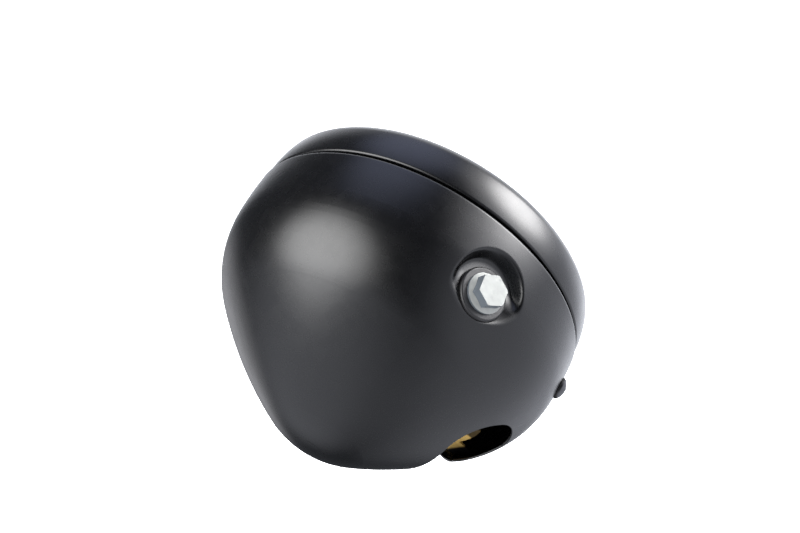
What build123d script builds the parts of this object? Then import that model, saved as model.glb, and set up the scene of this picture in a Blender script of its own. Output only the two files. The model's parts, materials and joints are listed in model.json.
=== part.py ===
from build123d import *
from math import asin, cos, degrees, radians, sin, sqrt, tan
import os

# Round motorcycle headlight: a drawn steel bucket on two side bolts, a screwed-on rim and a bulb unit.
# Millimetres. The origin is midway between the side bolts, on their axis. The lens looks along -Y,
# +Z is up and +X is the machine's left. A depth is measured back from the joint of bucket and rim.
# A clock angle is measured round the lamp's axis from bottom centre, positive to the machine's left.

# Bucket, from the spigot that carries the rim, over the front edge, back to the nose
BUCKET_RADIUS = 91.6
BUCKET_WALL = 1.2
SPIGOT_STEP = 7.0
SPIGOT_LENGTH = 9.0
SPIGOT_BEND = 1.0
EDGE_BEND = 1.6
EDGE_LAND = 3.0
LIP_RADIUS = 200.0
LIP_TURN = 5.2
SHOULDER_RADIUS = 58.4
SHOULDER_TURN = 39.2
FLANK_RADIUS = 225.0
FLANK_TURN = 15.8

# Round pads pressed into the bucket's sides for the bolts
BOLT_DEPTH = 30.2
PAD_DEPTH = 5.0
PAD_FLAT = 14.8
PAD_FILLET = 2.2
PAD_DRAFT = 25.0
PAD_EDGE = 3.5

# Cable opening, pierced through the bottom of the bucket's back
OPENING_WIDTH = 106.0
OPENING_REAR = 19.3
OPENING_FRONT = 22.0
OPENING_TILT = 45.0
OPENING_EDGE = 0.4
TONGUE_REACH = 10.4
TONGUE_TIP = 16.0
TONGUE_SLOPE = 22.0
TONGUE_ROUND = 4.0

# Side bolts with their collars and weld nuts
BOLT_RADIUS = 4.0
BOLT_LENGTH = 20.0
BOLT_HOLE_CLEARANCE = 0.3
BOLT_HEX = 13.0
BOLT_HEAD = 6.6
BOLT_FLANGE_RADIUS = 8.95
BOLT_FLANGE_EDGE = 1.1
BOLT_FLANGE_SLOPE = 22.0
BOLT_TURN = 53.0
COLLAR_RADIUS = 11.9
COLLAR_HEIGHT = 2.1
COLLAR_ROUND = 1.0
NUT_HEIGHT = 6.5
NUT_FLANGE_RADIUS = 9.5
NUT_FLANGE_HEIGHT = 1.3
THREAD_CLEARANCE = 0.05
HEX_CHAMFER = 30.0
HEX_CORNER = 0.4

# Rim, rolled in over the spigot at its back and over the lens at its front
RIM_STEP = 0.8
RIM_WALL = 1.0
RIM_GAP = 2.1
RIM_ROLL = 2.6
RIM_SIDE_RADIUS = 32.0
RIM_SIDE_BACK = 5.0
RIM_SIDE_FRONT = 20.0
RIM_NOSE = 10.0
RIM_LIP = 2.0
FIT = 0.3

# Hook and tabs welded inside the rim, and the screws that hold the tabs to the bucket
TAB_THICKNESS = 1.2
TAB_BEND = 2.0
TAB_ARC = 11.0
TAB_WELD = 3.0
TAB_MARGIN = 7.0
TAB_SEAT = 0.5
HOOK_REACH = 2.5
SCREW_CLOCK = 33.0
SCREW_DEPTH = 16.5
SCREW_RADIUS = 2.5
SCREW_LENGTH = 12.0
SCREW_HEAD_RADIUS = 5.2
SCREW_HEAD_EDGE = 0.6
SCREW_HEAD_HEIGHT = 2.6
SCREW_HOLE_CLEARANCE = 0.3
RECESS_WIDTH = 0.9
RECESS_LENGTH = 4.6
RECESS_DEPTH = 1.3
WASHER_RADIUS = 5.5
WASHER_THICKNESS = 0.7
RIM_NUT_HEX = 8.0
RIM_NUT_HEIGHT = 4.0
NUT_SEAT = 0.15

# Lens, fluted on its inside, with its seal
SEAL_SETBACK = 2.4
SEAL_THICKNESS = 1.6
SEAL_COVER = 4.4
LENS_CLEARANCE = 6.4
LENS_EDGE = 3.2
LENS_STEP = 2.6
LENS_LIP_GAP = 0.6
LENS_RISE = 10.0
LENS_WALL = 3.2
LENS_RIM_WIDTH = 11.0
FLUTES = 15
FLUTE_DEPTH = 0.9
SEAT_GAP = 0.1

# Reflector, a pressed paraboloid with a collar for the bulb
REFLECTOR_WALL = 0.8
REFLECTOR_FOCUS = 27.0
REFLECTOR_FLANGE = 8.0
BULB_HOLE_RADIUS = 19.5
BULB_COLLAR = 7.0
BULB_SEAT_WIDTH = 5.0

# Spring clips that press the reflector and lens forward into the rim
CLIP_CLOCKS = (60.0, 120.0, 240.0, 300.0)
CLIP_ARC = 8.0
CLIP_THICKNESS = 0.8
CLIP_BEND = 1.4
CLIP_SIDE = 7.0
CLIP_LEAN = 68.0

# Bulb with its spring and dust boot
BULB_FLANGE_RADIUS = 21.5
BULB_FLANGE = 1.0
BULB_NECK_RADIUS = 10.5
BULB_NECK = 7.0
BULB_BASE_RADIUS = 14.0
BULB_BASE = 11.0
BULB_GLASS_RADIUS = 8.5
BULB_GLASS_LENGTH = 46.0
BULB_GLASS_WALL = 1.0
FILAMENT_POST = 0.6
FILAMENT_REACH = 28.0
FILAMENT_SPACING = 7.0
FILAMENT_OFFSET = 2.6
SHIELD_RADIUS = 5.2
SHIELD_WALL = 0.5
SHIELD_LENGTH = 9.0
BLADE_WIDTH = 8.0
BLADE_THICKNESS = 0.8
BLADE_LENGTH = 11.0
BLADE_OFFSET = 8.0
SPRING_WIRE = 0.7
SPRING_RADIUS = 17.0
SPRING_ARC = 300.0
BOOT_WALL = 2.0
BOOT_GRIP = 1.6
BOOT_SHOULDER = 5.0
BOOT_SLOT = 0.4

# Bent steel clip for the wiring, spot-welded inside the bucket in front of the cable opening
HARNESS_CLOCK = 5.0
HARNESS_FRONT = 38.0
HARNESS_TURN = 12.0
HARNESS_STRIP = 1.0
HARNESS_ARC = 13.0
HARNESS_BEND = 5.0
HARNESS_RISE = 14.0
HARNESS_ARM = 5.5
HARNESS_ARM_ARC = 22.0
HARNESS_ROUND = 1.0

# Room by which a cutter passes the face it cuts
OVERSHOOT = 1.0

SPIGOT_RADIUS = BUCKET_RADIUS - SPIGOT_STEP
RIM_RADIUS = BUCKET_RADIUS - RIM_STEP
LAMP_AXIS = Axis.Y
BOLT_AXIS = Axis.X


def at(radius, depth):
    """Point of a lamp section: its distance from the lamp's axis and its place along that axis."""
    return (radius, depth - BOLT_DEPTH)


def polar(length, angle):
    return Vector(length * cos(radians(angle)), length * sin(radians(angle)))


def run(start, heading, moves, inset=0.0):
    """Tangent lines and arcs from start. A move is (length, 0) or (radius, turn), with left turns positive.
    The whole run is moved inset to the left of its travel."""
    point = Vector(*start) + polar(inset, heading + 90)
    edges = []
    for size, turn in moves:
        if turn == 0:
            end = point + polar(size, heading)
            edges.append(Line(point, end))
        else:
            side = 1 if turn > 0 else -1
            radius = size - side * inset
            centre = point + polar(radius, heading + side * 90)
            middle = centre + polar(radius, heading - side * 90 + turn / 2)
            end = centre + polar(radius, heading - side * 90 + turn)
            edges.append(ThreePointArc(point, middle, end))
            heading += turn
        point = end
    return edges


def strip(start, heading, moves, thickness):
    """Face of a bent sheet. Its thickness lies to the left of the run, or to the right if negative."""
    near = run(start, heading, moves)
    far = run(start, heading, moves, thickness)
    caps = [Line(near[0] @ 0, far[0] @ 0), Line(near[-1] @ 1, far[-1] @ 1)]
    return make_face(near + far + caps)


def polygon(*points):
    return make_face(Polyline(*points, close=True))


def cap_arc(edge_radius, rise):
    """Radius and turn of the arc from the crown of a round cap to its edge."""
    radius = (edge_radius**2 + rise**2) / (2 * rise)
    return radius, degrees(asin(edge_radius / radius))


def lathe(face):
    return revolve(face, LAMP_AXIS)


def around(piece, clock):
    """Turns a piece made at the machine's left to a clock angle."""
    return Rot(0, 90 - clock, 0) * piece


def sector(face, arc, clock):
    """Lamp section swept through an arc that is centred on a clock angle."""
    return around(Rot(0, -arc / 2, 0) * revolve(face, LAMP_AXIS, arc), clock)


def both_sides(piece):
    return [piece, mirror(piece, Plane.YZ)]


def bowl_arcs():
    """Radius and turn of each arc of the bucket's outside. The nose closes on the axis."""
    lip_end = radians(LIP_TURN)
    shoulder_end = lip_end + radians(SHOULDER_TURN)
    flank_end = shoulder_end + radians(FLANK_TURN)
    nose_start = BUCKET_RADIUS - LIP_RADIUS * (1 - cos(lip_end))
    nose_start -= SHOULDER_RADIUS * (cos(lip_end) - cos(shoulder_end))
    nose_start -= FLANK_RADIUS * (cos(shoulder_end) - cos(flank_end))
    return [
        (LIP_RADIUS, LIP_TURN),
        (SHOULDER_RADIUS, SHOULDER_TURN),
        (FLANK_RADIUS, FLANK_TURN),
        (nose_start / cos(flank_end), 90 - degrees(flank_end)),
    ]


def bowl_point(depth):
    """Radius of the bucket's outside at a depth behind its land, and the slope of its wall there."""
    radius, reached, slope = BUCKET_RADIUS, EDGE_LAND, 0.0
    for arc_radius, turn in bowl_arcs():
        end_slope = slope + radians(turn)
        arc_end = reached + arc_radius * (sin(end_slope) - sin(slope))
        if depth <= arc_end:
            end_slope = asin(sin(slope) + (depth - reached) / arc_radius)
            return radius - arc_radius * (cos(slope) - cos(end_slope)), degrees(end_slope)
        radius -= arc_radius * (cos(slope) - cos(end_slope))
        reached, slope = arc_end, end_slope
    raise ValueError("this depth lies behind the bucket's nose")


def wall_plane(depth):
    """Plane on the bucket's outside at the machine's left: Z is the outward normal and X runs back."""
    radius, slope = bowl_point(depth)
    along = polar(1, 90 + slope)
    outward = polar(1, slope)
    return Plane(Vector(*at(radius, depth)), x_dir=along, z_dir=outward)


PAD_PLANE = bowl_point(BOLT_DEPTH)[0] - PAD_DEPTH


def bowl(inset, overshoot=0.0):
    """Solid inside the bucket's outside surface, inset from it."""
    start = at(SPIGOT_RADIUS, -SPIGOT_LENGTH - overshoot)
    moves = [
        (SPIGOT_LENGTH + overshoot - SPIGOT_BEND, 0),
        (SPIGOT_BEND, -90),
        (BUCKET_RADIUS - EDGE_BEND - SPIGOT_RADIUS - SPIGOT_BEND, 0),
        (EDGE_BEND, 90),
        (EDGE_LAND - EDGE_BEND, 0),
    ]
    edges = run(start, 90, moves + bowl_arcs(), inset)
    first = edges[0] @ 0
    corner = Vector(0, first.Y)
    return lathe(make_face(edges + [Line(edges[-1] @ 1, corner), Line(corner, first)]))


def pad_cutter(inset):
    """Room outside the left pad, grown by inset: a flat disc with a filleted, drafted wall."""
    reach = 2 * PAD_DEPTH + PAD_FLAT
    moves = [(PAD_FLAT, 0), (PAD_FILLET, PAD_DRAFT - 90), (reach, 0)]
    edges = run((PAD_PLANE, 0), 90, moves, inset)
    first = edges[0] @ 0
    last = edges[-1] @ 1
    corner = Vector(last.X, 0)
    return revolve(make_face(edges + [Line(last, corner), Line(corner, first)]), BOLT_AXIS)


def opening_cutter():
    """Oblong seen along a line down and back: straight at the rear with round corners, and an oval front
    with a blunt tongue of the wall left in its middle."""
    half = OPENING_WIDTH / 2
    rear_moves = [(OPENING_REAR, 90), (OPENING_WIDTH - 2 * OPENING_REAR, 0), (OPENING_REAR, 90)]
    rear = run((-half, 0), -90, rear_moves)
    front = EllipticalCenterArc((0, 0), half, OPENING_FRONT, start_angle=0, arc_size=180)
    tip = TONGUE_TIP / 2
    root = tip + (OPENING_FRONT - TONGUE_REACH) / tan(radians(TONGUE_SLOPE))
    tongue = polygon((-tip, TONGUE_REACH), (tip, TONGUE_REACH), (root, OPENING_FRONT), (-root, OPENING_FRONT))
    outline = make_face(rear + [front]) - tongue
    corners = outline.vertices().filter_by_position(Axis.Y, TONGUE_REACH, OPENING_FRONT)
    outline = fillet(corners, TONGUE_ROUND)
    view = polar(1, -OPENING_TILT)
    plane = Plane((0, -BOLT_DEPTH, 0), x_dir=(1, 0, 0), z_dir=(0, view.X, view.Y))
    return plane * Pos(0, 0, BUCKET_RADIUS / 2) * extrude(outline, BUCKET_RADIUS)


def screw_hole():
    return wall_plane(SCREW_DEPTH) * Cylinder(SCREW_RADIUS + SCREW_HOLE_CLEARANCE, 4 * TAB_MARGIN)


def padded_bowl(inset, overshoot=0.0):
    """Bowl with both pads pressed in. Only the pads' edges are free-form curves."""
    pressed = bowl(inset, overshoot) - both_sides(pad_cutter(inset))
    return fillet(pressed.edges().filter_by(GeomType.BSPLINE), PAD_EDGE - inset)


def make_bucket():
    bucket = padded_bowl(0) - padded_bowl(BUCKET_WALL, OVERSHOOT)
    bolt_holes = Cylinder(BOLT_RADIUS + BOLT_HOLE_CLEARANCE, 2 * BUCKET_RADIUS)
    bucket -= Plane.YZ * bolt_holes
    bucket -= [around(screw_hole(), clock) for clock in (SCREW_CLOCK, -SCREW_CLOCK)]
    pierced = bucket - opening_cutter()
    opening_edges = (pierced.edges() - bucket.edges()).filter_by(GeomType.BSPLINE)
    return fillet(opening_edges, OPENING_EDGE)


def rim_depths():
    """Depths, all in front of the joint: where the rim's rear roll ends, its widest place and its front."""
    roll_end = -RIM_GAP - RIM_ROLL * (1 - sin(radians(RIM_SIDE_BACK)))
    widest = roll_end - RIM_SIDE_RADIUS * sin(radians(RIM_SIDE_BACK))
    side_end = widest - RIM_SIDE_RADIUS * sin(radians(RIM_SIDE_FRONT))
    return roll_end, widest, side_end - RIM_NOSE * (1 - sin(radians(RIM_SIDE_FRONT)))


def rim_mouth():
    """Radius where the rim's front is reached and its lip turns in."""
    side_drop = RIM_SIDE_RADIUS * (1 - cos(radians(RIM_SIDE_FRONT)))
    return RIM_RADIUS - side_drop - RIM_NOSE * cos(radians(RIM_SIDE_FRONT))


def rim_inside(depth):
    """Radius of the rim's inside at a depth on its rounded side."""
    rise = sqrt((RIM_SIDE_RADIUS - RIM_WALL) ** 2 - (depth - rim_depths()[1]) ** 2)
    return RIM_RADIUS - RIM_SIDE_RADIUS + rise


def make_rim():
    """Rolled sheet: from the back over the rear roll, the rounded side and the nose to the lip at the lens."""
    start_radius = SPIGOT_RADIUS + FIT
    roll_end = RIM_RADIUS - RIM_SIDE_RADIUS * (1 - cos(radians(RIM_SIDE_BACK)))
    roll_start = roll_end - RIM_ROLL * cos(radians(RIM_SIDE_BACK))
    moves = [
        (roll_start - start_radius, 0),
        (RIM_ROLL, RIM_SIDE_BACK - 90),
        (RIM_SIDE_RADIUS, -RIM_SIDE_BACK - RIM_SIDE_FRONT),
        (RIM_NOSE, RIM_SIDE_FRONT - 90),
        (RIM_LIP, -90),
    ]
    return lathe(strip(at(start_radius, -RIM_GAP), 0, moves, -RIM_WALL))


RIM_FRONT = rim_depths()[2]
DOME_RADIUS = rim_mouth() - RIM_LIP - LENS_LIP_GAP
LENS_RADIUS = RIM_RADIUS - RIM_WALL - LENS_CLEARANCE
SEAL_FRONT = RIM_FRONT + RIM_WALL + SEAL_SETBACK
LENS_FRONT = SEAL_FRONT + SEAL_THICKNESS
LENS_BACK = LENS_FRONT + LENS_EDGE
FLANGE_FRONT = LENS_BACK + SEAT_GAP
FLANGE_BACK = FLANGE_FRONT + REFLECTOR_WALL


def rim_bracket_start():
    """Common front of hook and tabs: welded to the rim's side, in over the spigot's front and back past it.
    Gives the start point and the moves, which end heading outward behind the bucket's edge."""
    web_depth = -SPIGOT_LENGTH - FIT
    weld_front = web_depth - TAB_BEND - TAB_WELD
    weld_radius = rim_inside(weld_front) - SEAT_GAP
    inner_radius = SPIGOT_RADIUS - BUCKET_WALL - FIT
    hook_bend = SPIGOT_BEND + BUCKET_WALL + FIT
    start = at(weld_radius, weld_front)
    moves = [
        (TAB_WELD, 0),
        (TAB_BEND, 90),
        (weld_radius - TAB_BEND - inner_radius - FIT, 0),
        (FIT, -90),
        (-web_depth - FIT - SPIGOT_BEND, 0),
        (hook_bend, -90),
    ]
    return start, moves


def make_rim_hook():
    start, moves = rim_bracket_start()
    return sector(strip(start, 90, moves + [(HOOK_REACH, 0)], TAB_THICKNESS), TAB_ARC, 180)


def make_rim_tab(clock):
    """Tab that lies along the inside of the bucket's wall behind the screw."""
    start, moves = rim_bracket_start()
    wall_radius, slope = bowl_point(SCREW_DEPTH)
    outward = polar(1, slope)
    backward = polar(1, 90 + slope)
    screw_point = Vector(*at(wall_radius, SCREW_DEPTH)) - outward * (BUCKET_WALL + TAB_SEAT)
    web = run(start, 90, moves)[-1] @ 1
    corner_y = web.Y + TAB_BEND
    corner_x = (screw_point.dot(outward) - TAB_BEND - outward.Y * corner_y) / outward.X
    leg_start = Vector(corner_x, corner_y) + outward * TAB_BEND
    leg = (screw_point - leg_start).dot(backward) + TAB_MARGIN
    moves += [(corner_x - web.X, 0), (TAB_BEND, 90 + slope), (leg, 0)]
    tab = sector(strip(start, 90, moves, TAB_THICKNESS), TAB_ARC, clock)
    return tab - around(screw_hole(), clock)


def hexagon(across_flats, height):
    return extrude(RegularPolygon(across_flats / 2, 6, major_radius=False), height)


def chamfered_hex(across_flats, height):
    """Hexagon whose top corners are turned off at the chamfer angle."""
    corner = across_flats / sqrt(3)
    top = corner - HEX_CORNER
    drop = HEX_CORNER * tan(radians(HEX_CHAMFER))
    turned = polygon((0, 0), (corner, 0), (corner, height - drop), (top, height), (0, height))
    return hexagon(across_flats, height) & revolve(Plane.XZ * turned, Axis.Z)


def make_rim_screw(clock):
    """Domed screw with a cross recess, its head on the washer."""
    shank = Pos(0, 0, -SCREW_LENGTH / 2) * Cylinder(SCREW_RADIUS, SCREW_LENGTH)
    crown = (0, SCREW_HEAD_HEIGHT)
    dome_radius, dome_turn = cap_arc(SCREW_HEAD_RADIUS, SCREW_HEAD_HEIGHT - SCREW_HEAD_EDGE)
    dome = run(crown, 0, [(dome_radius, -dome_turn)])
    side = Polyline(dome[0] @ 1, (SCREW_HEAD_RADIUS, 0), (0, 0), crown)
    head = revolve(Plane.XZ * make_face(dome + [side]), Axis.Z)
    slot = Box(RECESS_LENGTH, RECESS_WIDTH, 2 * RECESS_DEPTH)
    slot = Pos(0, 0, SCREW_HEAD_HEIGHT) * slot
    screw = head + shank - slot - Rot(0, 0, 90) * slot
    return around(wall_plane(SCREW_DEPTH) * Pos(0, 0, WASHER_THICKNESS) * screw, clock)


def make_rim_washer(clock):
    washer = Cylinder(WASHER_RADIUS, WASHER_THICKNESS)
    washer -= Cylinder(SCREW_RADIUS + SCREW_HOLE_CLEARANCE, 2 * WASHER_THICKNESS)
    return around(wall_plane(SCREW_DEPTH) * Pos(0, 0, WASHER_THICKNESS / 2) * washer, clock)


def make_rim_nut(clock):
    nut = chamfered_hex(RIM_NUT_HEX, RIM_NUT_HEIGHT)
    nut -= Cylinder(SCREW_RADIUS + THREAD_CLEARANCE, 3 * RIM_NUT_HEIGHT)
    seat = -(BUCKET_WALL + TAB_SEAT + TAB_THICKNESS + NUT_SEAT)
    return around(wall_plane(SCREW_DEPTH) * Pos(0, 0, seat) * Rot(180, 0, 0) * nut, clock)


def side_plane(distance):
    return Plane((distance, 0, 0), x_dir=(0, 1, 0), z_dir=(1, 0, 0))


def make_mount_collar():
    """Spacer between the pad and the bolt, with a rounded outer edge."""
    top = COLLAR_HEIGHT - COLLAR_ROUND
    bore = BOLT_RADIUS + BOLT_HOLE_CLEARANCE
    outside = run((COLLAR_RADIUS, 0), 90, [(top, 0), (COLLAR_ROUND, 90)])
    inside = Polyline(outside[-1] @ 1, (bore, COLLAR_HEIGHT), (bore, 0), (COLLAR_RADIUS, 0))
    return side_plane(PAD_PLANE) * revolve(Plane.XZ * make_face(outside + [inside]), Axis.Z)


def make_mount_bolt():
    """Flange bolt: a hexagon on a coned flange, with its shank through collar, pad and nut."""
    rise = (BOLT_FLANGE_RADIUS - BOLT_HEX / 2) * tan(radians(BOLT_FLANGE_SLOPE))
    flange = polygon(
        (0, 0),
        (BOLT_FLANGE_RADIUS, 0),
        (BOLT_FLANGE_RADIUS, BOLT_FLANGE_EDGE),
        (BOLT_HEX / 2, BOLT_FLANGE_EDGE + rise),
        (0, BOLT_FLANGE_EDGE + rise),
    )
    shank = Pos(0, 0, -BOLT_LENGTH / 2) * Cylinder(BOLT_RADIUS, BOLT_LENGTH)
    head = Rot(0, 0, BOLT_TURN) * chamfered_hex(BOLT_HEX, BOLT_HEAD)
    bolt = revolve(Plane.XZ * flange, Axis.Z) + head + shank
    return side_plane(PAD_PLANE + COLLAR_HEIGHT) * bolt


def make_mount_nut():
    """Flanged weld nut on the pad's inside."""
    nut = chamfered_hex(BOLT_HEX, NUT_HEIGHT) + Pos(0, 0, NUT_FLANGE_HEIGHT / 2) * Cylinder(
        NUT_FLANGE_RADIUS, NUT_FLANGE_HEIGHT
    )
    nut -= Cylinder(BOLT_RADIUS + THREAD_CLEARANCE, 3 * NUT_HEIGHT)
    return side_plane(PAD_PLANE - BUCKET_WALL) * Rot(180, 0, 0) * nut


def make_lens_seal():
    """Rubber channel round the lens, the seat between its edge and the rim."""
    outer = LENS_RADIUS + SEAL_THICKNESS
    return lathe(
        polygon(
            at(LENS_RADIUS - SEAL_COVER, SEAL_FRONT),
            at(outer - SEAL_THICKNESS / 2, SEAL_FRONT),
            at(outer, SEAL_FRONT + SEAL_THICKNESS / 2),
            at(outer, FLANGE_BACK),
            at(LENS_RADIUS + SEAT_GAP, FLANGE_BACK),
            at(LENS_RADIUS + SEAT_GAP, LENS_FRONT - SEAT_GAP),
            at(LENS_RADIUS - SEAL_COVER, LENS_FRONT - SEAT_GAP),
        )
    )


def fluted_room():
    """Room behind the lens: upright scallops that follow the dome, bounded by the lens's thick edge."""
    sphere, _ = cap_arc(DOME_RADIUS, LENS_RISE)
    crown = LENS_FRONT - LENS_STEP - LENS_RISE
    centre_y = at(0, crown + sphere)[1]
    room_radius = LENS_RADIUS - LENS_RIM_WIDTH
    ridge = sphere - LENS_WALL - FLUTE_DEPTH
    pitch = 2 * (room_radius + OVERSHOOT) / FLUTES
    first = -room_radius - OVERSHOOT
    ridges = [first + pitch * count for count in range(FLUTES + 1)]
    points = [Vector(x, centre_y - sqrt(ridge**2 - x**2)) for x in ridges]
    edges = [SagittaArc(a, b, FLUTE_DEPTH) for a, b in zip(points, points[1:])]
    ends = [Vector(points[-1].X, centre_y), Vector(points[0].X, centre_y)]
    edges += [Line(points[-1], ends[0]), Line(*ends), Line(ends[1], points[0])]
    axis = Axis((0, centre_y, 0), (1, 0, 0))
    half_arc = degrees(asin((room_radius + OVERSHOOT) / ridge))
    barrel = revolve(make_face(edges), axis, 2 * half_arc).rotate(axis, -half_arc)
    length = LENS_BACK - crown + OVERSHOOT
    core = Cylinder(room_radius, length, align=(Align.CENTER, Align.CENTER, Align.MIN))
    core_plane = Plane((0, at(0, LENS_BACK + OVERSHOOT)[1], 0), x_dir=(1, 0, 0), z_dir=(0, -1, 0))
    return barrel & core_plane * core


def make_lens():
    """Domed glass with a flat edge that sits behind the rim's lip."""
    crown = at(0, LENS_FRONT - LENS_STEP - LENS_RISE)
    dome = run(crown, 0, [cap_arc(DOME_RADIUS, LENS_RISE)])
    edge = Polyline(
        dome[0] @ 1,
        at(DOME_RADIUS, LENS_FRONT),
        at(LENS_RADIUS, LENS_FRONT),
        at(LENS_RADIUS, LENS_BACK),
        at(0, LENS_BACK),
        crown,
    )
    return lathe(make_face(dome + [edge])) - fluted_room()


def reflector_mouth():
    return LENS_RADIUS - REFLECTOR_FLANGE


def reflector_vertex():
    return FLANGE_FRONT + reflector_mouth() ** 2 / (4 * REFLECTOR_FOCUS)


def parabola(inner, outer, vertex, focus):
    """Exact parabolic section between two radii, as a curve with three poles."""

    def depth_of(product):
        return vertex - product / (4 * focus)

    poles = [
        at(inner, depth_of(inner**2)),
        at((inner + outer) / 2, depth_of(inner * outer)),
        at(outer, depth_of(outer**2)),
    ]
    return Bezier(*poles)


def bulb_seat_depth():
    """Depth of the face that the bulb's flange sits on."""
    return reflector_vertex() - BULB_HOLE_RADIUS**2 / (4 * REFLECTOR_FOCUS) + BULB_COLLAR


def make_reflector():
    wall = REFLECTOR_WALL
    vertex = reflector_vertex()
    back_focus = REFLECTOR_FOCUS + wall / 2
    mouth = reflector_mouth()
    back_mouth = mouth * sqrt(back_focus / REFLECTOR_FOCUS)
    seat = bulb_seat_depth()
    ring = BULB_HOLE_RADIUS + BULB_SEAT_WIDTH
    front = parabola(BULB_HOLE_RADIUS, mouth, vertex, REFLECTOR_FOCUS)
    back = parabola(BULB_HOLE_RADIUS + wall, back_mouth, vertex + wall, back_focus)
    flange = Polyline(front @ 1, at(LENS_RADIUS, FLANGE_FRONT), at(LENS_RADIUS, FLANGE_BACK), back @ 1)
    collar = Polyline(
        front @ 0,
        at(BULB_HOLE_RADIUS, seat),
        at(ring, seat),
        at(ring, seat - wall),
        at(BULB_HOLE_RADIUS + wall, seat - wall),
        back @ 0,
    )
    return lathe(make_face([front, back, flange, collar]))


def make_unit_clips():
    """Leaf springs behind the reflector's flange, each held by the rim's rear roll."""
    foot = SPIGOT_RADIUS + 2 * FIT
    foot_depth = -RIM_GAP - RIM_WALL - SEAT_GAP
    start = at(foot, foot_depth)
    side_radius = rim_inside(foot_depth - CLIP_BEND - CLIP_SIDE) - SEAT_GAP
    moves = [(side_radius - CLIP_BEND - foot, 0), (CLIP_BEND, -90), (CLIP_SIDE, 0), (CLIP_BEND, -CLIP_LEAN)]
    bend_end = run(start, 0, moves)[-1] @ 1
    reach = bend_end.Y - at(0, FLANGE_BACK + SEAT_GAP)[1]
    moves.append((reach / cos(radians(CLIP_LEAN)), 0))
    face = strip(start, 0, moves, -CLIP_THICKNESS)
    return Compound([sector(face, CLIP_ARC, clock).solid() for clock in CLIP_CLOCKS])


def make_bulb_base():
    seat = bulb_seat_depth() + SEAT_GAP
    return lathe(
        polygon(
            at(0, seat - BULB_NECK),
            at(BULB_NECK_RADIUS, seat - BULB_NECK),
            at(BULB_NECK_RADIUS, seat),
            at(BULB_FLANGE_RADIUS, seat),
            at(BULB_FLANGE_RADIUS, seat + BULB_FLANGE),
            at(BULB_BASE_RADIUS, seat + BULB_FLANGE),
            at(BULB_BASE_RADIUS, seat + BULB_FLANGE + BULB_BASE),
            at(0, seat + BULB_FLANGE + BULB_BASE),
        )
    )


def neck_front():
    return bulb_seat_depth() + SEAT_GAP - BULB_NECK


def make_bulb_glass():
    """Clear tube with a round end, standing on the bulb's neck."""
    straight = BULB_GLASS_LENGTH - BULB_GLASS_RADIUS
    moves = [(straight, 0), (BULB_GLASS_RADIUS, -90)]
    return lathe(strip(at(BULB_GLASS_RADIUS, neck_front()), -90, moves, -BULB_GLASS_WALL))


def make_bulb_filaments():
    """Two filaments on posts, with the half cup that shades one of them."""
    foot = at(0, neck_front())[1]
    forward = Plane((0, foot, 0), x_dir=(1, 0, 0), z_dir=(0, -1, 0))
    base_up = (Align.CENTER, Align.CENTER, Align.MIN)
    post = Cylinder(FILAMENT_POST, FILAMENT_REACH, align=base_up)
    bar = Rot(0, 90, 0) * Cylinder(FILAMENT_POST, 2 * FILAMENT_OFFSET)
    frame = Pos(-FILAMENT_OFFSET, 0, 0) * post + Pos(FILAMENT_OFFSET, 0, 0) * post
    frame += [Pos(0, 0, FILAMENT_REACH - step * FILAMENT_SPACING - FILAMENT_POST) * bar for step in (0, 1)]
    cup = Cylinder(SHIELD_RADIUS, SHIELD_LENGTH, align=base_up)
    cup -= Pos(0, 0, SHIELD_WALL) * Cylinder(SHIELD_RADIUS - SHIELD_WALL, SHIELD_LENGTH, align=base_up)
    half = Pos(0, SHIELD_RADIUS / 2, 0) * Box(2 * SHIELD_RADIUS, SHIELD_RADIUS, 3 * SHIELD_LENGTH)
    cup_foot = FILAMENT_REACH - SHIELD_LENGTH
    return forward * (frame + Pos(0, 0, cup_foot) * (cup - half))


def blade_places():
    """Local frames of the three blades, square to the bulb's back: one on top and one at each side."""
    back = at(0, bulb_seat_depth() + SEAT_GAP + BULB_FLANGE + BULB_BASE)[1]
    plane = Plane((0, back, 0), x_dir=(1, 0, 0), z_dir=(0, 1, 0))
    return [plane * Rot(0, 0, turn) * Pos(0, -BLADE_OFFSET, 0) for turn in (0, 90, -90)]


def make_bulb_contacts():
    blade = Box(BLADE_WIDTH, BLADE_THICKNESS, BLADE_LENGTH, align=(Align.CENTER, Align.CENTER, Align.MIN))
    return Compound([(place * blade).solid() for place in blade_places()])


def make_bulb_spring():
    """Open wire ring that presses on the bulb's flange, with two legs out to the reflector's seat ring."""
    wire_depth = bulb_seat_depth() + SEAT_GAP + BULB_FLANGE + SPRING_WIRE
    section = Pos(*at(SPRING_RADIUS, wire_depth)) * Circle(SPRING_WIRE)
    spring = sector(section, SPRING_ARC, 180)
    leg_length = BULB_HOLE_RADIUS + BULB_SEAT_WIDTH - SPRING_RADIUS
    leg = Rot(0, 90, 0) * Cylinder(SPRING_WIRE, leg_length, align=(Align.CENTER, Align.CENTER, Align.MIN))
    leg = Pos(*at(SPRING_RADIUS, wire_depth)) * leg
    return spring + [around(leg, 180 + turn) for turn in (SPRING_ARC / 2, -SPRING_ARC / 2)]


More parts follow.
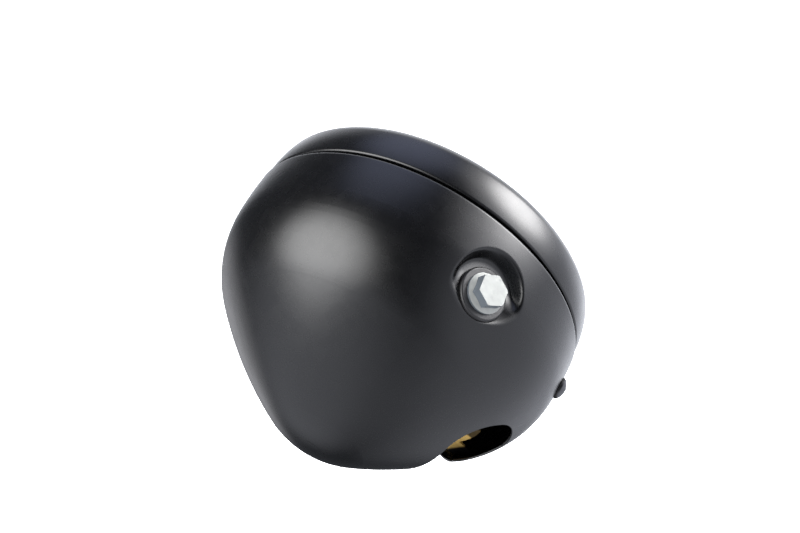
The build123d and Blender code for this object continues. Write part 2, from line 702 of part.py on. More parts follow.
def make_bulb_boot():
    """Rubber cup that grips the edge of the reflector's seat ring and lets the blades through."""
    seat = bulb_seat_depth()
    ring = BULB_HOLE_RADIUS + BULB_SEAT_WIDTH
    mouth = ring + SEAT_GAP
    back = seat + SEAT_GAP + BULB_FLANGE + BULB_BASE + SEAT_GAP
    waist = BULB_BASE_RADIUS + SEAT_GAP
    shoulder = seat + BOOT_SHOULDER
    boot = lathe(
        polygon(
            at(mouth, seat - REFLECTOR_WALL - BOOT_GRIP),
            at(mouth + BOOT_WALL, seat - REFLECTOR_WALL - BOOT_GRIP),
            at(mouth + BOOT_WALL, shoulder + BOOT_WALL),
            at(waist + BOOT_WALL, shoulder + 2 * BOOT_WALL),
            at(waist + BOOT_WALL, back + BOOT_WALL),
            at(0, back + BOOT_WALL),
            at(0, back),
            at(waist, back),
            at(waist, shoulder + BOOT_WALL),
            at(mouth, shoulder),
        )
    )
    slot = Box(BLADE_WIDTH + 2 * BOOT_SLOT, BLADE_THICKNESS + 2 * BOOT_SLOT, 4 * BOOT_WALL)
    return boot - [place * slot for place in blade_places()]


def make_harness_clip():
    """Base that follows the wall, bent up to a plate that faces back. An arm on the plate's top reaches to
    the machine's right over the room for the wires."""
    inset = BUCKET_WALL + SEAT_GAP
    radius, slope = bowl_point(HARNESS_FRONT)
    start = Vector(*at(radius, HARNESS_FRONT)) - polar(inset, slope)
    moves = [
        (SHOULDER_RADIUS - inset, HARNESS_TURN),
        (HARNESS_BEND, 90 - slope - HARNESS_TURN),
        (HARNESS_RISE, 0),
    ]
    plate = strip(start, 90 + slope, moves, HARNESS_STRIP)
    top = run(start, 90 + slope, moves)[-1] @ 1
    arm = Pos(top.X, top.Y) * Rectangle(HARNESS_ARM, HARNESS_STRIP, align=(Align.MIN, Align.MAX))
    clip = sector(plate, HARNESS_ARC, HARNESS_CLOCK)
    clip += sector(arm, HARNESS_ARC + HARNESS_ARM_ARC, HARNESS_CLOCK - HARNESS_ARM_ARC / 2)
    return fillet(clip.edges().filter_by(LAMP_AXIS), HARNESS_ROUND)


def make_nodes():
    nodes = {
        "bucket": make_bucket(),
        "rim": make_rim(),
        "rim_hook": make_rim_hook(),
        "lens": make_lens(),
        "lens_seal": make_lens_seal(),
        "reflector": make_reflector(),
        "unit_clips": make_unit_clips(),
        "bulb_base": make_bulb_base(),
        "bulb_glass": make_bulb_glass(),
        "bulb_filaments": make_bulb_filaments(),
        "bulb_contacts": make_bulb_contacts(),
        "bulb_spring": make_bulb_spring(),
        "bulb_boot": make_bulb_boot(),
        "harness_clip": make_harness_clip(),
    }
    for side, clock in (("left", SCREW_CLOCK), ("right", -SCREW_CLOCK)):
        nodes["rim_tab_" + side] = make_rim_tab(clock)
        nodes["rim_screw_" + side] = make_rim_screw(clock)
        nodes["rim_washer_" + side] = make_rim_washer(clock)
        nodes["rim_nut_" + side] = make_rim_nut(clock)
    for name, piece in (
        ("mount_bolt", make_mount_bolt()),
        ("mount_collar", make_mount_collar()),
        ("mount_nut", make_mount_nut()),
    ):
        nodes[name + "_left"], nodes[name + "_right"] = both_sides(piece)
    return nodes


os.makedirs("parts", exist_ok=True)
for node, piece in make_nodes().items():
    export_step(piece, f"parts/{node}.step")
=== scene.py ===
import json
import math

import bmesh
import bpy
from mathutils import Matrix, Vector


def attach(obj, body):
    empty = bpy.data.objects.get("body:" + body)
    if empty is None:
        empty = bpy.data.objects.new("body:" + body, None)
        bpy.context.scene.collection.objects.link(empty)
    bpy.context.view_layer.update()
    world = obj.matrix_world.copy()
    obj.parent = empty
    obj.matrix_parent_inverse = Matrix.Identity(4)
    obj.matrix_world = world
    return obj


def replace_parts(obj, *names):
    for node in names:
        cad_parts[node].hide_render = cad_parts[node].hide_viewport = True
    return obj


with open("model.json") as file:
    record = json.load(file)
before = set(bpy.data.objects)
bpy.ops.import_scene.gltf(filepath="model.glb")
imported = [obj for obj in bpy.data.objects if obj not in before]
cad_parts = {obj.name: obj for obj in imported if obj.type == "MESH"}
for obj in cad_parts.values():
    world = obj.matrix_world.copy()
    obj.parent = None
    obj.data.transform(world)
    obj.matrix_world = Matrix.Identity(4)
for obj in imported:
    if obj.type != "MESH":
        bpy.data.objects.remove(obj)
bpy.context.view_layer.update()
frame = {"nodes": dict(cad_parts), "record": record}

# The looks of a round motorcycle headlight: satin black paint, zinc and black fastenings, a glass lens.
# Metres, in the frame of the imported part: the lens looks along -Y, +Z is up, +X is the machine's left.

# Camera, fitted to the photograph's outline, with its lens and sensor in millimetres and angles in degrees
VIEW_AZIMUTH = 238.21
VIEW_ELEVATION = 16.09
VIEW_ROLL = -48.21
VIEW_AIM = Vector((-0.01276, -0.02782, 0.01321))
VIEW_DISTANCE = 0.44277
VIEW_NEAR = 0.01
VIEW_LENS = 39.86
SENSOR_WIDTH = 36.0

# Studio: floor and backdrop as the camera sees them, and the dim room that the lamp mirrors instead
FLOOR_LEVEL = -0.40
FLOOR_HALF = 40.0
FLOOR_WHITE = (0.90, 0.90, 0.90, 1.0)
FLOOR_ROUGHNESS = 0.9
FLOOR_GLOW = 1.15
BACKDROP_COLOUR = (1.06, 1.06, 1.06, 1.0)
ROOM_COLOUR = (0.07, 0.075, 0.085, 1.0)

# Soft lights in that room: the direction of a light's middle, as right, up and towards the camera in the
# photograph, the angles in degrees from there where it begins to fade and where it ends, and its colour
GLOWS = {
    "key": ((-0.77, 0.29, 0.57), 0.0, 37.0, (8.8, 8.8, 8.8)),
    "key_spill": ((-0.75, -0.57, 0.33), 0.0, 59.0, (1.14, 1.17, 1.28)),
    "side": ((0.82, 0.57, 0.03), 8.0, 20.0, (16.8, 16.6, 16.6)),
    "side_spill": ((0.81, 0.58, 0.10), 18.0, 34.0, (2.6, 2.6, 2.7)),
    "sweep": ((0.92, -0.36, 0.13), 40.0, 82.0, (1.12, 1.15, 1.27)),
    "backdrop": ((0.31, 0.42, -0.85), 17.0, 54.0, (2.05, 2.10, 2.25)),
    "top": ((0.02, 1.00, 0.04), 0.0, 30.0, (1.12, 1.24, 1.75)),
    "left_paper": ((-0.63, -0.19, -0.75), 0.0, 26.0, (0.92, 0.92, 0.96)),
}

# Fill light under the lamp, which isn't mirrored
FILL_PLACE = Vector((0.0, 0.21, -0.24))
FILL_TARGET = Vector((0.0, 0.035, -0.055))
FILL_SIZE = 0.25
FILL_POWER = 0.8

# Depth of the side bolts' axis, and so of the frame's origin, behind the bucket's front edge
BOLT_DEPTH = 0.0302

# Rim, a rolled sheet with a tight roll at its back, a long side, a nose and a lip bent in at the lens.
# The side is an arc that leans in at its back and its front by angles in degrees.
RIM_INNER = 0.0849
RIM_RADIUS = 0.0909
RIM_WALL = 0.001
RIM_GAP = 0.0016
RIM_ROLL = 0.0012
RIM_SIDE = 0.052
RIM_SIDE_BACK = 4.0
RIM_SIDE_FRONT = 12.5
RIM_NOSE = 0.010
RIM_LIP = 0.002

# Fineness of the rim: degrees to a step along an arc of its section, and steps around the lamp
ARC_STEP = 2.0
LATHE_STEPS = 360

# Angle above which an edge between two faces looks sharp
SHARP_ANGLE = math.radians(35.0)

# Bucket's outside where the pads are pressed in: a land at the edge, a slightly rounded lip, the shoulder
BUCKET_RADIUS = 0.0916
EDGE_LAND = 0.003
LIP_RADIUS = 0.200
LIP_TURN = math.radians(5.2)
SHOULDER_RADIUS = 0.0584

# Skins that lie close over the bucket
SKIN_THICKNESS = 0.0006
SKIN_LIFT = 0.00002

# Face of a pad: a flat around the bolt, a steep wall at its front, and gentle slopes at its rear and below.
# Inner, outer and starts are distances from the bolt's axis, and a slope is its rise over its run.
PAD_PLANE = 0.08422
PAD_INNER = 0.009
PAD_OUTER = 0.025
PAD_RINGS = 40
PAD_SPOKES = 240
PAD_FRONT_START = 0.0157
PAD_REAR_START = 0.0105
PAD_LOW_START = 0.0100
PAD_FRONT_SLOPE = 2.1
PAD_REAR_SLOPE = 0.33
PAD_LOW_SLOPE = 0.50

# Where the wall begins and where it is full, in degrees from the front around the bolt, positive upwards
PAD_WALL_TOP = (125.0, 75.0)
PAD_WALL_FOOT = (-88.0, -48.0)

# Rounding at the foot of the slopes, and where they meet the bowl, at the front and at the rear
PAD_FOOT = 0.0008
PAD_EDGE = 0.0016
PAD_REAR_EDGE = 0.0010

# Where the low slope and the rear edge begin and are full, as sines of the angle below or behind the bolt
PAD_LOW_ENDS = (0.30, 0.90)
PAD_REAR_ENDS = (0.2, 0.8)

# Middle of the bucket's back, part of a ball: its radius, where it ends, and the reach of the skin over it
NOSE_RADIUS = 0.05112
NOSE_END = 0.07108
NOSE_INNER = 0.00002
NOSE_OUTER = 0.008
NOSE_RINGS = 16
NOSE_SPOKES = 120

# Colours of the finishes
# Black of the satin paint, which is also painted as shade on the harness clip
PAINT_AND_SHADE_BLACK = (0.0018, 0.0019, 0.0023)
COLLAR_BLACK = (0.010, 0.010, 0.0105)
RUBBER_BLACK = (0.012, 0.012, 0.012)
ZINC = (0.33, 0.34, 0.32)
# Painted shade on the bolts' flanks: a darker, bluish zinc
SHADED_FLANK_ZINC = (0.10, 0.115, 0.13)
DARK_ZINC = (0.10, 0.10, 0.105)
YELLOW_ZINC = (0.86, 0.57, 0.17)
BRIGHT_STEEL = (0.68, 0.68, 0.67)
BRASS = (0.76, 0.60, 0.30)
MIRROR = (0.42, 0.43, 0.44)
BARE_STEEL = (0.46, 0.46, 0.45)
GLASS_TINT = (0.97, 0.985, 0.98)
QUARTZ_TINT = (0.99, 0.99, 1.0)

# Darkest and lightest tone of a colour, as shares of it
PAINT_TONES = (0.85, 1.15)
MOULDED_TONES = (0.8, 1.25)
PLATED_TONES = (0.86, 1.08)
BOLT_TONES = (0.84, 1.06)
GLASS_TONES = (0.985, 1.0)

# Roughness of the glossiest and the dullest spots
PAINT_GLOSS = (0.25, 0.29)
COLLAR_GLOSS = (0.38, 0.5)
RUBBER_GLOSS = (0.6, 0.75)
BOLT_GLOSS = (0.36, 0.5)
ZINC_GLOSS = (0.3, 0.45)
BRIGHT_STEEL_GLOSS = (0.22, 0.36)
BRASS_GLOSS = (0.25, 0.4)
MIRROR_GLOSS = (0.03, 0.07)
BARE_STEEL_GLOSS = (0.32, 0.48)
GLASS_GLOSS = (0.0, 0.03)

# Noises: grains to a metre and detail, for a finish's clouds of colour, haze of gloss and fine relief
PAINT_CLOUDS = (45.0, 3.0)
PAINT_HAZE = (160.0, 5.0)
PAINT_PEEL = (900.0, 2.0)
MOULDED_CLOUDS = (220.0, 3.0)
MOULDED_HAZE = (500.0, 4.0)
MOULDED_GRAIN = (2600.0, 2.0)
PLATED_CLOUDS = (300.0, 4.0)
PLATED_HAZE = (900.0, 4.0)
PLATED_MARKS = (2200.0, 3.0)
GLASS_CLOUDS = (30.0, 3.0)
GLASS_HAZE = (120.0, 3.0)
GLASS_WAVES = (90.0, 3.0)
MIRROR_HAZE = (200.0, 3.0)
BARE_STEEL_HAZE = (700.0, 4.0)

# Part of a noise's range that is used, and how it is drawn out along X, Y and Z
NOISE_MIDDLE = (0.3, 0.7)
EVEN = (1.0, 1.0, 1.0)
DRAWN_ALONG_Y = (1.0, 0.1, 1.0)

# Reliefs: height and strength
PEEL_RELIEF = (0.000004, 0.3)
GRAIN_RELIEF = (0.00002, 0.6)
MARKS_RELIEF = (0.000012, 0.5)
WAVES_RELIEF = (0.00002, 0.3)

# Other properties: how metallic the plating is, the refraction of glass, and how far a face of a bolt leans
# towards the bolt's axis where the painted shade on its flanks begins to lift and where it is gone
BOLT_METALLIC = 0.3
YELLOW_METALLIC = 0.6
GLASS_INDEX = 1.5
UNSHADED_FACE_LEAN = (0.3, 0.7)

# Painted shade on the harness clip: black up to a height at its foot, and beyond a place along X at the end
# of its arm, where it is lighter and lets this share of the yellow through
CLIP_SHADE_TOP = -0.0705
CLIP_SHADE_END = -0.0135
CLIP_SHADE_FADE = 0.0015
CLIP_THIN_SHADE = 0.10


class Finish:
    """A material made of nodes, with one shader that the helpers link into."""

    def __init__(self, name):
        self.material = bpy.data.materials.new(name)
        self.material.use_nodes = True
        self.nodes = self.material.node_tree.nodes
        self.links = self.material.node_tree.links
        self.shader = self.nodes["Principled BSDF"]
        self.place = self.nodes.new("ShaderNodeTexCoord").outputs["Object"]

    def set(self, **values):
        """Plain values for the shader's sockets, with underscores for the spaces in their names."""
        for name, value in values.items():
            self.shader.inputs[name.replace("_", " ")].default_value = value

    def noise(self, scale, detail, stretch=EVEN):
        """A grey noise of that many grains a metre, drawn out where stretch is small."""
        mapping = self.nodes.new("ShaderNodeMapping")
        mapping.inputs["Scale"].default_value = stretch
        self.links.new(self.place, mapping.inputs["Vector"])
        texture = self.nodes.new("ShaderNodeTexNoise")
        texture.inputs["Scale"].default_value = scale
        texture.inputs["Detail"].default_value = detail
        self.links.new(mapping.outputs["Vector"], texture.inputs["Vector"])
        return texture.outputs["Fac"]

    def fade(self, source, start, end, low=0.0, high=1.0, kind="LINEAR"):
        """Goes from low to high while the source goes from start to end."""
        remap = self.nodes.new("ShaderNodeMapRange")
        remap.interpolation_type = kind
        remap.inputs["From Min"].default_value = start
        remap.inputs["From Max"].default_value = end
        remap.inputs["To Min"].default_value = low
        remap.inputs["To Max"].default_value = high
        self.links.new(source, remap.inputs["Value"])
        return remap.outputs["Result"]

    def spread(self, noise, low, high):
        """Maps the middle of a noise onto low to high."""
        return self.fade(noise, *NOISE_MIDDLE, low, high)

    def coordinate(self, vector, axis):
        split = self.nodes.new("ShaderNodeSeparateXYZ")
        self.links.new(vector, split.inputs["Vector"])
        return split.outputs[axis]

    def facing(self, axis):
        """How far the surface faces along an axis."""
        return self.coordinate(self.nodes.new("ShaderNodeNewGeometry").outputs["Normal"], axis)

    def calculate(self, operation, *sources):
        """Result of an operation on numbers, each of them plain or another node's output."""
        node = self.nodes.new("ShaderNodeMath")
        node.operation = operation
        for source, socket in zip(sources, node.inputs):
            if isinstance(source, float):
                socket.default_value = source
            else:
                self.links.new(source, socket)
        return node.outputs["Value"]

    def mix(self, share, first, second):
        """A colour between two, each of them plain or another node's output."""
        node = self.nodes.new("ShaderNodeMix")
        node.data_type = "RGBA"
        self.links.new(share, node.inputs["Factor"])
        for name, colour in (("A", first), ("B", second)):
            if isinstance(colour, tuple):
                node.inputs[name].default_value = (*colour, 1.0)
            else:
                self.links.new(colour, node.inputs[name])
        return node.outputs["Result"]

    def mottle(self, noise, colour, tones):
        """A colour that runs between two tones of itself with a noise."""
        darkest, lightest = [tuple(tone * c for c in colour) for tone in tones]
        return self.mix(self.spread(noise, 0.0, 1.0), darkest, lightest)

    def colour(self, source):
        self.links.new(source, self.shader.inputs["Base Color"])

    def gloss(self, noise, limits):
        """Roughness that runs between two limits with a noise."""
        self.links.new(self.spread(noise, *limits), self.shader.inputs["Roughness"])

    def relief(self, noise, height, strength):
        """Bump of that height in metres."""
        bump = self.nodes.new("ShaderNodeBump")
        bump.inputs["Strength"].default_value = strength
        bump.inputs["Distance"].default_value = height
        self.links.new(noise, bump.inputs["Height"])
        self.links.new(bump.outputs["Normal"], self.shader.inputs["Normal"])


def paint(name):
    """Satin stoved paint: even black, a faint cloudiness in its gloss, a very fine orange peel."""
    finish = Finish(name)
    finish.colour(finish.mottle(finish.noise(*PAINT_CLOUDS), PAINT_AND_SHADE_BLACK, PAINT_TONES))
    finish.gloss(finish.noise(*PAINT_HAZE), PAINT_GLOSS)
    finish.relief(finish.noise(*PAINT_PEEL), *PEEL_RELIEF)
    return finish.material


def moulded(name, colour, gloss):
    """Black moulded plastic or rubber with a fine grain."""
    finish = Finish(name)
    finish.colour(finish.mottle(finish.noise(*MOULDED_CLOUDS), colour, MOULDED_TONES))
    finish.gloss(finish.noise(*MOULDED_HAZE), gloss)
    finish.relief(finish.noise(*MOULDED_GRAIN), *GRAIN_RELIEF)
    return finish.material


def plated(name, colour, gloss, stretch=EVEN, metallic=1.0):
    """Plated or drawn metal, cloudy in colour and gloss, with fine marks along the way it was drawn."""
    finish = Finish(name)
    finish.set(Metallic=metallic)
    finish.colour(finish.mottle(finish.noise(*PLATED_CLOUDS), colour, PLATED_TONES))
    finish.gloss(finish.noise(*PLATED_HAZE, stretch), gloss)
    finish.relief(finish.noise(*PLATED_MARKS, stretch), *MARKS_RELIEF)
    return finish.material


def bolt_zinc(name):
    """Zinc plate, bright on the faces that look along the bolts, with a painted bluish shade on the flanks,
    which face across them.
    """
    finish = Finish(name)
    finish.set(Metallic=BOLT_METALLIC)
    along = finish.calculate("ABSOLUTE", finish.facing("X"))
    unshaded_faces = finish.fade(along, *UNSHADED_FACE_LEAN, kind="SMOOTHSTEP")
    bright = finish.mottle(finish.noise(*PLATED_CLOUDS), ZINC, BOLT_TONES)
    # Painted shade: the flanks, which face across the bolts, take the darker, bluish zinc colour
    finish.colour(finish.mix(unshaded_faces, SHADED_FLANK_ZINC, bright))
    finish.gloss(finish.noise(*PLATED_HAZE), BOLT_GLOSS)
    finish.relief(finish.noise(*PLATED_MARKS), *MARKS_RELIEF)
    return finish.material


def clip_with_painted_shade(name):
    """Yellow passivated zinc with painted shade: black at its foot, and dimmed to a share of the yellow at
    the end of its arm.
    """
    finish = Finish(name)
    finish.set(Metallic=YELLOW_METALLIC)
    height = finish.coordinate(finish.place, "Z")
    above_foot = finish.fade(height, CLIP_SHADE_TOP - CLIP_SHADE_FADE, CLIP_SHADE_TOP)
    across = finish.coordinate(finish.place, "X")
    before_end = finish.fade(across, CLIP_SHADE_END - CLIP_SHADE_FADE, CLIP_SHADE_END, CLIP_THIN_SHADE)
    unshaded_clip = finish.calculate("MULTIPLY", above_foot, before_end)
    yellow = finish.mottle(finish.noise(*PLATED_CLOUDS), YELLOW_ZINC, PLATED_TONES)
    # Painted shade: the clip's foot is black and the end of its arm is dim, where shade falls inside the
    # bucket
    finish.colour(finish.mix(unshaded_clip, PAINT_AND_SHADE_BLACK, yellow))
    finish.gloss(finish.noise(*PLATED_HAZE), ZINC_GLOSS)
    return finish.material


def glass(name, tint):
    """Clear glass with a trace of waviness."""
    finish = Finish(name)
    finish.set(Transmission_Weight=1.0, IOR=GLASS_INDEX)
    finish.colour(finish.mottle(finish.noise(*GLASS_CLOUDS), tint, GLASS_TONES))
    finish.gloss(finish.noise(*GLASS_HAZE), GLASS_GLOSS)
    finish.relief(finish.noise(*GLASS_WAVES), *WAVES_RELIEF)
    return finish.material


def reflector_finish(name):
    """Mirror bright where the sheet faces forward, uncoated pressed steel on its back."""
    finish = Finish(name)
    finish.set(Metallic=1.0)
    back = finish.calculate("GREATER_THAN", finish.facing("Y"), 0.0)
    finish.colour(finish.mix(back, MIRROR, BARE_STEEL))
    rough = finish.nodes.new("ShaderNodeMix")
    finish.links.new(back, rough.inputs["Factor"])
    finish.links.new(finish.spread(finish.noise(*MIRROR_HAZE), *MIRROR_GLOSS), rough.inputs["A"])
    finish.links.new(finish.spread(finish.noise(*BARE_STEEL_HAZE), *BARE_STEEL_GLOSS), rough.inputs["B"])
    finish.links.new(rough.outputs["Result"], finish.shader.inputs["Roughness"])
    return finish.material


def make_finishes():
    """A material for each slot of the record."""
    return {
        "bucket_paint": paint("bucket_paint"),
        "rim_paint": paint("rim_paint"),
        "collar_black": moulded("collar_black", COLLAR_BLACK, COLLAR_GLOSS),
        "zinc": bolt_zinc("zinc"),
        "dark_screw": plated("dark_screw", DARK_ZINC, ZINC_GLOSS),
        "yellow_passivate": plated("yellow_passivate", YELLOW_ZINC, ZINC_GLOSS, metallic=YELLOW_METALLIC),
        "rubber": moulded("rubber", RUBBER_BLACK, RUBBER_GLOSS),
        "lens_glass": glass("lens_glass", GLASS_TINT),
        "bulb_glass": glass("bulb_glass", QUARTZ_TINT),
        "reflector_metal": reflector_finish("reflector_metal"),
        "bulb_metal": plated("bulb_metal", BRIGHT_STEEL, BRIGHT_STEEL_GLOSS),
        "blade_brass": plated("blade_brass", BRASS, BRASS_GLOSS, DRAWN_ALONG_Y),
    }


def dress(finishes):
    """Gives each CAD node the finish of its slot in the record, and the harness clip its own, with painted
    shade.
    """
    own = {"harness_clip": clip_with_painted_shade("clip_passivate_painted_shade")}
    for subpart in frame["record"]["subparts"]:
        materials = frame["nodes"][subpart["node"]].data.materials
        materials.clear()
        materials.append(own.get(subpart["node"], finishes[subpart["material_slot"]]))


def unit(angle):
    return Vector((math.cos(angle), math.sin(angle)))


def spokes(count):
    """Directions that are spread evenly around a circle."""
    return [unit(2 * math.pi * i / count) for i in range(count)]


def smoothstep(low, high, value):
    share = min(max((value - low) / (high - low), 0.0), 1.0)
    return share * share * (3.0 - 2.0 * share)


def blend(first, second, share):
    return first + (second - first) * share


def run(start, heading, moves, inset=0.0):
    """Points of tangent lines and arcs from start, in the lamp's section: radius, then place along Y.
    A move is (length, 0) or (radius, turn), with left turns positive and angles in degrees.
    The run is moved inset to its left."""
    heading = math.radians(heading)
    points = [Vector(start) + inset * unit(heading + math.pi / 2)]
    for size, turn in moves:
        if turn == 0:
            points.append(points[-1] + size * unit(heading))
            continue
        side = math.copysign(1.0, turn)
        radius = size - side * inset
        centre = points[-1] + radius * unit(heading + side * math.pi / 2)
        outward = heading - side * math.pi / 2
        steps = math.ceil(abs(turn) / ARC_STEP)
        for i in range(1, steps + 1):
            points.append(centre + radius * unit(outward + math.radians(turn) * i / steps))
        heading += math.radians(turn)
    return points


def add_piece(name, rows, slot, finishes):
    """Closed mesh from rows of points. Each row is a closed loop, and the last row joins the first."""
    mesh = bpy.data.meshes.new(name)
    shape = bmesh.new()
    rings = [[shape.verts.new(point) for point in row] for row in rows]
    for ring, following in zip(rings, rings[1:] + rings[:1]):
        for i in range(len(ring)):
            j = (i + 1) % len(ring)
            shape.faces.new((ring[i], ring[j], following[j], following[i]))
    bmesh.ops.recalc_face_normals(shape, faces=shape.faces)
    for face in shape.faces:
        face.smooth = True
    shape.to_mesh(mesh)
    shape.free()
    mesh.set_sharp_from_angle(angle=SHARP_ANGLE)
    mesh.materials.append(finishes[slot])
    piece = bpy.data.objects.new(name, mesh)
    bpy.context.scene.collection.objects.link(piece)
    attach(piece, "root")
    return piece


def make_rim(finishes):
    """Rolled rim, its back close in front of the bucket's edge."""
    drop = RIM_SIDE * (1 - math.cos(math.radians(RIM_SIDE_BACK)))
    land = RIM_RADIUS - drop - RIM_ROLL * math.cos(math.radians(RIM_SIDE_BACK)) - RIM_INNER
    moves = [
        (land, 0),
        (RIM_ROLL, RIM_SIDE_BACK - 90),
        (RIM_SIDE, -RIM_SIDE_BACK - RIM_SIDE_FRONT),
        (RIM_NOSE, RIM_SIDE_FRONT - 90),
        (RIM_LIP, -90),
    ]
    start = (RIM_INNER, -RIM_GAP - BOLT_DEPTH)
    section = run(start, 0, moves) + run(start, 0, moves, -RIM_WALL)[::-1]
    rows = [[(p.x * out.x, p.y, p.x * out.y) for p in section] for out in spokes(LATHE_STEPS)]
    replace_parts(add_piece("rolled_rim", rows, "rim_paint", finishes), "rim")


def bowl_radius(depth):
    """Radius of the bucket's outside at a depth behind its front edge, on its land, lip or shoulder."""
    lip_end = EDGE_LAND + LIP_RADIUS * math.sin(LIP_TURN)
    if depth <= lip_end:
        past = max(depth - EDGE_LAND, 0.0)
        return BUCKET_RADIUS - LIP_RADIUS * (1 - math.sqrt(1 - past**2 / LIP_RADIUS**2))
    slope = math.asin(math.sin(LIP_TURN) + (depth - lip_end) / SHOULDER_RADIUS)
    drop = LIP_RADIUS * (1 - math.cos(LIP_TURN))
    return BUCKET_RADIUS - drop - SHOULDER_RADIUS * (math.cos(LIP_TURN) - math.cos(slope))


def ramp(past):
    """Height of a slope of one in one at a distance past its foot, which is rounded."""
    return (past + math.hypot(past, PAD_FOOT)) / 2


def pad_face(y, z):
    """Distance of the pressed surface from the lamp's middle plane, at a place beside the bolt."""
    bowl = math.sqrt(bowl_radius(y + BOLT_DEPTH) ** 2 - z * z)
    reach = math.hypot(y, z)
    turn = math.degrees(math.atan2(z, -y))
    front = smoothstep(*PAD_WALL_TOP, turn) * smoothstep(*PAD_WALL_FOOT, turn)
    low = smoothstep(*PAD_LOW_ENDS, -z / reach)
    rear_rise = PAD_REAR_SLOPE * ramp(reach - PAD_REAR_START)
    low_rise = PAD_LOW_SLOPE * ramp(reach - PAD_LOW_START)
    front_rise = PAD_FRONT_SLOPE * ramp(reach - PAD_FRONT_START)
    pad = PAD_PLANE + blend(blend(rear_rise, low_rise, low), front_rise, front)
    # The lower of bowl and pad, rounded off where the two are near each other
    soft = blend(PAD_EDGE, PAD_REAR_EDGE, smoothstep(*PAD_REAR_ENDS, y / reach))
    near = max(soft - abs(bowl - pad), 0.0) / soft
    return min(bowl, pad) - near * near * soft / 4 + SKIN_LIFT


def make_pad_faces(finishes):
    """Skins that round off the bucket's pads as pressing leaves them."""
    for name, side in (("pad_face_left", 1), ("pad_face_right", -1)):
        rows = []
        for way in spokes(PAD_SPOKES):
            spoke = [blend(PAD_INNER, PAD_OUTER, j / PAD_RINGS) * way for j in range(PAD_RINGS + 1)]
            top = [(side * pad_face(*p), p.x, p.y) for p in spoke]
            under = [(x - side * SKIN_THICKNESS, y, z) for x, y, z in reversed(top)]
            rows.append(top + under)
        add_piece(name, rows, "bucket_paint", finishes)


def make_nose_face(finishes):
    """Smooth skin over the middle of the bucket's back, with a pinhole where its spokes would meet."""
    rows = []
    for way in spokes(NOSE_SPOKES):
        top = []
        for j in range(NOSE_RINGS + 1):
            reach = blend(NOSE_INNER, NOSE_OUTER, j / NOSE_RINGS)
            drop = NOSE_RADIUS - math.sqrt(NOSE_RADIUS**2 - reach**2)
            top.append((reach * way.x, NOSE_END - drop + SKIN_LIFT, reach * way.y))
        under = [(x, y - SKIN_THICKNESS, z) for x, y, z in reversed(top)]
        rows.append(top + under)
    add_piece("nose_face", rows, "bucket_paint", finishes)


def make_floor():
    """Pale paper that the lamp doesn't mirror and isn't lit by."""
    sides = ((-1, -1), (1, -1), (1, 1), (-1, 1))
    corners = [(x * FLOOR_HALF, y * FLOOR_HALF, FLOOR_LEVEL) for x, y in sides]
    mesh = bpy.data.meshes.new("floor")
    mesh.from_pydata(corners, [], [(0, 1, 2, 3)])
    floor = bpy.data.objects.new("floor", mesh)
    bpy.context.scene.collection.objects.link(floor)
    finish = Finish("floor_paper")
    finish.set(Base_Color=FLOOR_WHITE, Roughness=FLOOR_ROUGHNESS)
    finish.set(Emission_Color=FLOOR_WHITE, Emission_Strength=FLOOR_GLOW)
    mesh.materials.append(finish.material)
    floor.visible_glossy = False
    floor.visible_diffuse = False


def view_back():
    """The direction from the lamp to the camera."""
    azimuth = math.radians(VIEW_AZIMUTH)
    elevation = math.radians(VIEW_ELEVATION)
    level = math.cos(elevation)
    return Vector((math.sin(azimuth) * level, -math.cos(azimuth) * level, math.sin(elevation)))


def view_turn():
    """The camera's axes, rolled as the photograph is."""
    turn = view_back().to_track_quat("Z", "Y").to_matrix().to_4x4()
    return turn @ Matrix.Rotation(math.radians(VIEW_ROLL), 4, "Z")


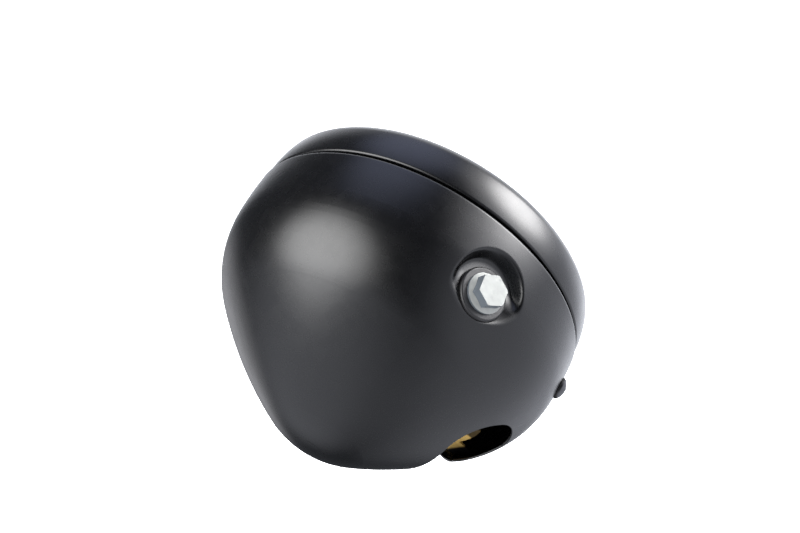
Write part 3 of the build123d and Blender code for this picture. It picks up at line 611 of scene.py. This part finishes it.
def make_studio():
    """World that is plain white to the camera, while the lamp mirrors a dim room with soft lights in it."""
    world = bpy.data.worlds.new("studio")
    bpy.context.scene.world = world
    world.use_nodes = True
    nodes = world.node_tree.nodes
    links = world.node_tree.links
    axes = view_turn().to_3x3()
    place = nodes.new("ShaderNodeTexCoord").outputs["Generated"]
    room = nodes.new("ShaderNodeRGB").outputs["Color"]
    room.default_value = ROOM_COLOUR
    for direction, full, end, colour in GLOWS.values():
        nearness = nodes.new("ShaderNodeVectorMath")
        nearness.operation = "DOT_PRODUCT"
        nearness.inputs[1].default_value = axes @ Vector(direction).normalized()
        links.new(place, nearness.inputs[0])
        fade = nodes.new("ShaderNodeMapRange")
        fade.interpolation_type = "SMOOTHSTEP"
        fade.inputs["From Min"].default_value = math.cos(math.radians(end))
        fade.inputs["From Max"].default_value = math.cos(math.radians(full))
        links.new(nearness.outputs["Value"], fade.inputs["Value"])
        lit = nodes.new("ShaderNodeMix")
        lit.data_type = "RGBA"
        lit.blend_type = "ADD"
        links.new(fade.outputs["Result"], lit.inputs["Factor"])
        links.new(room, lit.inputs["A"])
        lit.inputs["B"].default_value = (*colour, 1.0)
        room = lit.outputs["Result"]
    seen = nodes.new("ShaderNodeMix")
    seen.data_type = "RGBA"
    links.new(nodes.new("ShaderNodeLightPath").outputs["Is Camera Ray"], seen.inputs["Factor"])
    links.new(room, seen.inputs["A"])
    seen.inputs["B"].default_value = BACKDROP_COLOUR
    links.new(seen.outputs["Result"], nodes["Background"].inputs["Color"])


def make_fill():
    """Soft light from below that the black paint doesn't mirror."""
    light = bpy.data.lights.new("fill", "AREA")
    light.size = FILL_SIZE
    light.energy = FILL_POWER
    holder = bpy.data.objects.new("fill", light)
    turn = (FILL_TARGET - FILL_PLACE).to_track_quat("-Z", "Y").to_matrix().to_4x4()
    holder.matrix_world = Matrix.Translation(FILL_PLACE) @ turn
    holder.visible_camera = False
    holder.visible_glossy = False
    bpy.context.scene.collection.objects.link(holder)


def make_camera():
    """Camera at the photograph's viewing angle."""
    camera = bpy.data.cameras.new("camera")
    camera.sensor_width = SENSOR_WIDTH
    camera.lens = VIEW_LENS
    camera.clip_start = VIEW_NEAR
    holder = bpy.data.objects.new("camera", camera)
    bpy.context.scene.collection.objects.link(holder)
    holder.matrix_world = Matrix.Translation(VIEW_AIM + VIEW_DISTANCE * view_back()) @ view_turn()
    bpy.context.scene.camera = holder


bpy.context.scene.view_settings.view_transform = "Standard"
finishes = make_finishes()
dress(finishes)
make_rim(finishes)
make_pad_faces(finishes)
make_nose_face(finishes)
make_floor()
make_studio()
make_fill()
make_camera()
